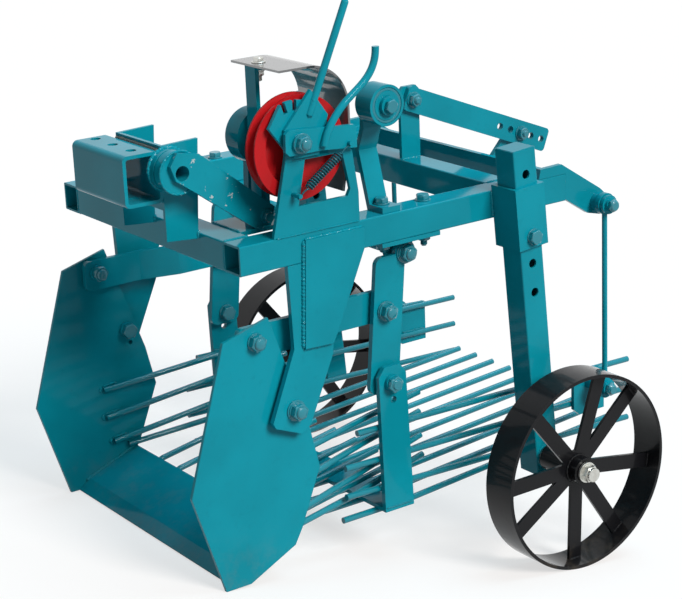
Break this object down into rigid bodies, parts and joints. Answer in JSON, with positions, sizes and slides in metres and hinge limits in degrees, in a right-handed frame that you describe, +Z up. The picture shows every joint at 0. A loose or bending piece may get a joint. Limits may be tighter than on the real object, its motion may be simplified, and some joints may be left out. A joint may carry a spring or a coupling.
{
  "type": "potato digger",
  "caption": "Single-row vibrating potato digger: tube frame on two spoked wheels, hanging knife and shaking tine grate behind it, belt pulley, hitch tube and levers.",
  "frame": {"origin": "on the floor below the middle of the bounding box", "axes": "+X to the machine's left, where the pulley and levers are, +Y to the rear, +Z up"},
  "size_m": [0.772, 0.8706, 0.7962],
  "materials": {
    "teal_paint": "gloss",
    "black_paint": "gloss",
    "red_paint": "gloss",
    "zinc": "satin",
    "spring_steel": "satin"
  },
  "bodies": {
    "frame": {"rail_left": "teal_paint", "rail_right": "teal_paint", "front_crossbeam": "teal_paint", "mid_crossbeam": "teal_paint", "rear_crossbar": "teal_paint", "hitch_tube": "teal_paint", "hitch_channel": "teal_paint", "hitch_bush": "teal_paint", "hitch_brace": "teal_paint", "knife_leg_left": "teal_paint", "knife_leg_right": "teal_paint", "lever_bracket": "teal_paint", "toothed_sector": "teal_paint", "hand_lever": "teal_paint", "latch_lever": "teal_paint", "latch_spring": "spring_steel", "guard_post": "teal_paint", "belt_guard": "black_paint", "shaft_housing": "teal_paint", "roller_bracket": "teal_paint", "centre_post": "teal_paint", "adjuster_bar": "teal_paint", "rear_shaft": "teal_paint", "rear_arm_left": "teal_paint", "rear_arm_right": "teal_paint", "post_sleeve_left": "teal_paint", "post_sleeve_right": "teal_paint", "wheel_post_left": "teal_paint", "wheel_post_right": "teal_paint", "wheel_axle_left": "zinc", "wheel_axle_right": "zinc", "rocker_bracket_left": "teal_paint", "rocker_bracket_right": "teal_paint"},
    "pulley_unit": {"drive_pulley": "red_paint", "pulley_shaft": "teal_paint"},
    "roller_unit": {"guide_roller": "teal_paint"},
    "wheel_left_unit": {"wheel_left": "black_paint"},
    "wheel_right_unit": {"wheel_right": "black_paint"},
    "rocker_unit": {"rocker_shaft": "teal_paint", "rocker_strap_left": "teal_paint", "rocker_strap_right": "teal_paint"},
    "grate_unit": {"grate_side_bar_left": "teal_paint", "grate_side_bar_right": "teal_paint", "grate_cross_bar": "teal_paint", "grate_rods": "teal_paint", "grate_bracket_left": "teal_paint", "grate_bracket_right": "teal_paint"},
    "knife_unit": {"knife_plate_left": "teal_paint", "knife_plate_right": "teal_paint", "knife_blade": "teal_paint", "knife_rods": "teal_paint"},
    "link_left_unit": {"drive_link_left": "teal_paint"},
    "link_right_unit": {"drive_link_right": "teal_paint"},
    "hanger_left_unit": {"rear_hanger_left": "teal_paint"},
    "hanger_right_unit": {"rear_hanger_right": "teal_paint"}
  },
  "joints": [
    {"name": "wheel_left_spin", "type": "hinge", "parent": "frame", "child": "wheel_left_unit", "pos_m": [0.347, 0.20731, 0.1445], "axis": [1, 0, 0], "continuous": true},
    {"name": "wheel_right_spin", "type": "hinge", "parent": "frame", "child": "wheel_right_unit", "pos_m": [-0.347, 0.20731, 0.1445], "axis": [1, 0, 0], "continuous": true},
    {"name": "pulley_spin", "type": "hinge", "parent": "frame", "child": "pulley_unit", "pos_m": [0.217, -0.22406, 0.60215], "axis": [1, 0, 0], "continuous": true},
    {"name": "roller_spin", "type": "hinge", "parent": "frame", "child": "roller_unit", "pos_m": [0.216, -0.0918, 0.65485], "axis": [1, 0, 0], "continuous": true},
    {"name": "rocker_swing", "type": "hinge", "parent": "frame", "child": "rocker_unit", "pos_m": [0, -0.02622, 0.44763], "axis": [1, 0, 0], "range_deg": [-2, 2]},
    {"name": "grate_swing", "type": "hinge", "parent": "rocker_unit", "child": "grate_unit", "pos_m": [0, -0.04365, 0.2658], "axis": [1, 0, 0], "range_deg": [-2.4, 2.4]},
    {"name": "knife_swing", "type": "hinge", "parent": "frame", "child": "knife_unit", "pos_m": [0, -0.21249, 0.24964], "axis": [1, 0, 0], "range_deg": [-2, 2]},
    {"name": "link_left_swing", "type": "hinge", "parent": "knife_unit", "child": "link_left_unit", "pos_m": [0.211, -0.27407, 0.34593], "axis": [1, 0, 0], "range_deg": [-1.5, 1.5]},
    {"name": "link_right_swing", "type": "hinge", "parent": "knife_unit", "child": "link_right_unit", "pos_m": [-0.211, -0.27407, 0.34593], "axis": [1, 0, 0], "range_deg": [-1.5, 1.5]},
    {"name": "hanger_left_swing", "type": "hinge", "parent": "frame", "child": "hanger_left_unit", "pos_m": [0.256, 0.30086, 0.5068], "axis": [1, 0, 0], "range_deg": [-1.7, 1.7]},
    {"name": "hanger_right_swing", "type": "hinge", "parent": "frame", "child": "hanger_right_unit", "pos_m": [-0.256, 0.30086, 0.5068], "axis": [1, 0, 0], "range_deg": [-1.7, 1.7]}
  ],
  "couplings": [
    {"joint": "knife_swing", "follows": "rocker_swing", "ratio": -0.7712},
    {"joint": "grate_swing", "follows": "rocker_swing", "ratio": -0.8886},
    {"joint": "link_left_swing", "follows": "rocker_swing", "ratio": 0.4363},
    {"joint": "link_right_swing", "follows": "rocker_swing", "ratio": 0.4363},
    {"joint": "hanger_left_swing", "follows": "rocker_swing", "ratio": 0.662},
    {"joint": "hanger_right_swing", "follows": "rocker_swing", "ratio": 0.662}
  ]
}
